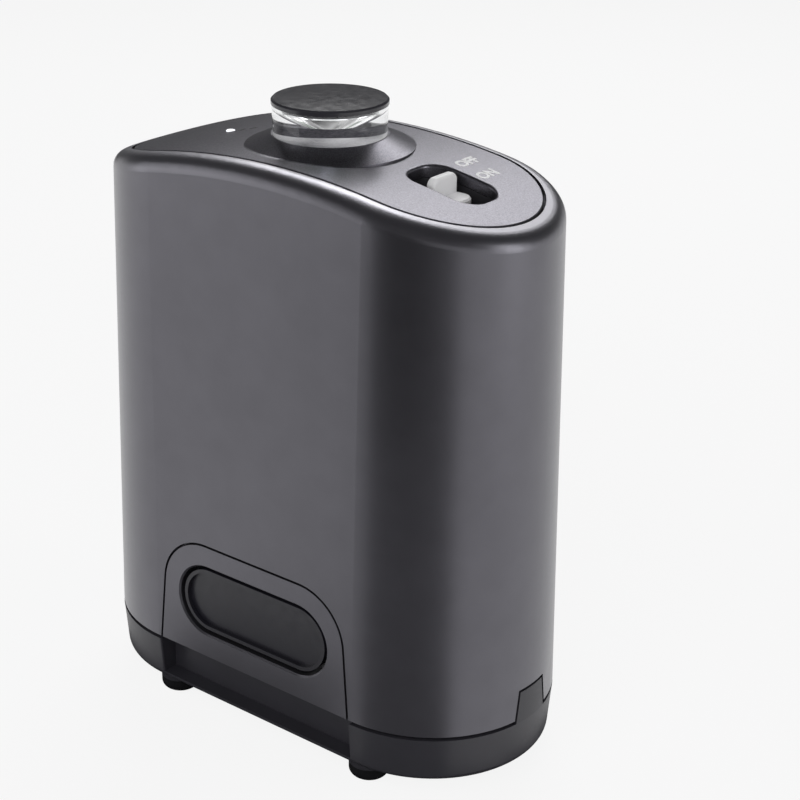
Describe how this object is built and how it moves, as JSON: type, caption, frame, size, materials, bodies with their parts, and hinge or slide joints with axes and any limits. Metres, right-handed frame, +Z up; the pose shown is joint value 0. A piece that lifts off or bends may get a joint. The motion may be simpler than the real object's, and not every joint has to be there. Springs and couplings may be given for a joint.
{
  "type": "robot vacuum virtual wall",
  "caption": "Free-standing battery tower that throws an infrared line to turn a floor robot away, with a clear dome, a slide switch, a beam window and a pull-off base.",
  "frame": {"origin": "middle of the footprint, on the floor under the feet", "axes": "+Z up, the beam window faces -Y, +X towards the switch end of the top"},
  "size_m": [0.09, 0.0446, 0.1141],
  "materials": {
    "shell_plastic": "satin dark grey moulding",
    "plate_plastic": "lighter grey with a fine metallic fleck",
    "base_plastic": "satin darker grey moulding",
    "clear_plastic": "clear polished moulding",
    "cap_plastic": "polished dark grey",
    "window_plastic": "smoky, passes infrared",
    "black_plastic": "plain black moulding",
    "knob_plastic": "pale grey moulding",
    "switch_metal": "folded steel case",
    "diode_plastic": "tinted clear resin",
    "board_laminate": "green solder mask",
    "capacitor_sleeve": "dark blue sleeve",
    "screw_steel": "zinc plated",
    "contact_metal": "nickel plated",
    "cell_jacket": "plain jacket over a steel can",
    "foot_rubber": "soft black"
  },
  "bodies": {
    "base": {"base": "base_plastic", "battery_tray": "black_plastic", "tray_screws": "screw_steel", "cell_left": "cell_jacket", "cell_right": "cell_jacket", "link_strip": "contact_metal", "link_spring": "contact_metal", "foot_front_left": "foot_rubber", "foot_front_right": "foot_rubber", "foot_back_left": "foot_rubber", "foot_back_right": "foot_rubber"},
    "housing": {"body_shell": "shell_plastic", "front_panel": "shell_plastic", "top_plate": "plate_plastic", "dome_lens": "clear_plastic", "dome_cap": "cap_plastic", "window_lens": "window_plastic", "switch_well": "black_plastic", "slide_switch": "switch_metal", "light_pipe": "clear_plastic", "status_led": "diode_plastic", "dome_emitter": "diode_plastic", "beam_emitter_left": "diode_plastic", "beam_emitter_right": "diode_plastic", "beam_shroud": "black_plastic", "main_board": "board_laminate", "beam_board": "board_laminate", "control_chip": "black_plastic", "capacitor": "capacitor_sleeve", "board_screws": "screw_steel", "beam_screws": "screw_steel", "carrier_screws": "screw_steel", "contact_carrier": "black_plastic", "contact_positive": "contact_metal", "contact_negative": "contact_metal", "contact_spring": "contact_metal"},
    "knob": {"switch_knob": "knob_plastic", "switch_actuator": "black_plastic"}
  },
  "joints": [
    {"name": "shell_lift", "type": "slide", "parent": "base", "child": "housing", "axis": [0, 0, 1], "range_m": [0, 0.06]},
    {"name": "switch_slide", "type": "slide", "parent": "housing", "child": "knob", "axis": [1, 0, 0], "range_m": [-0.0034, 0.0034]}
  ]
}
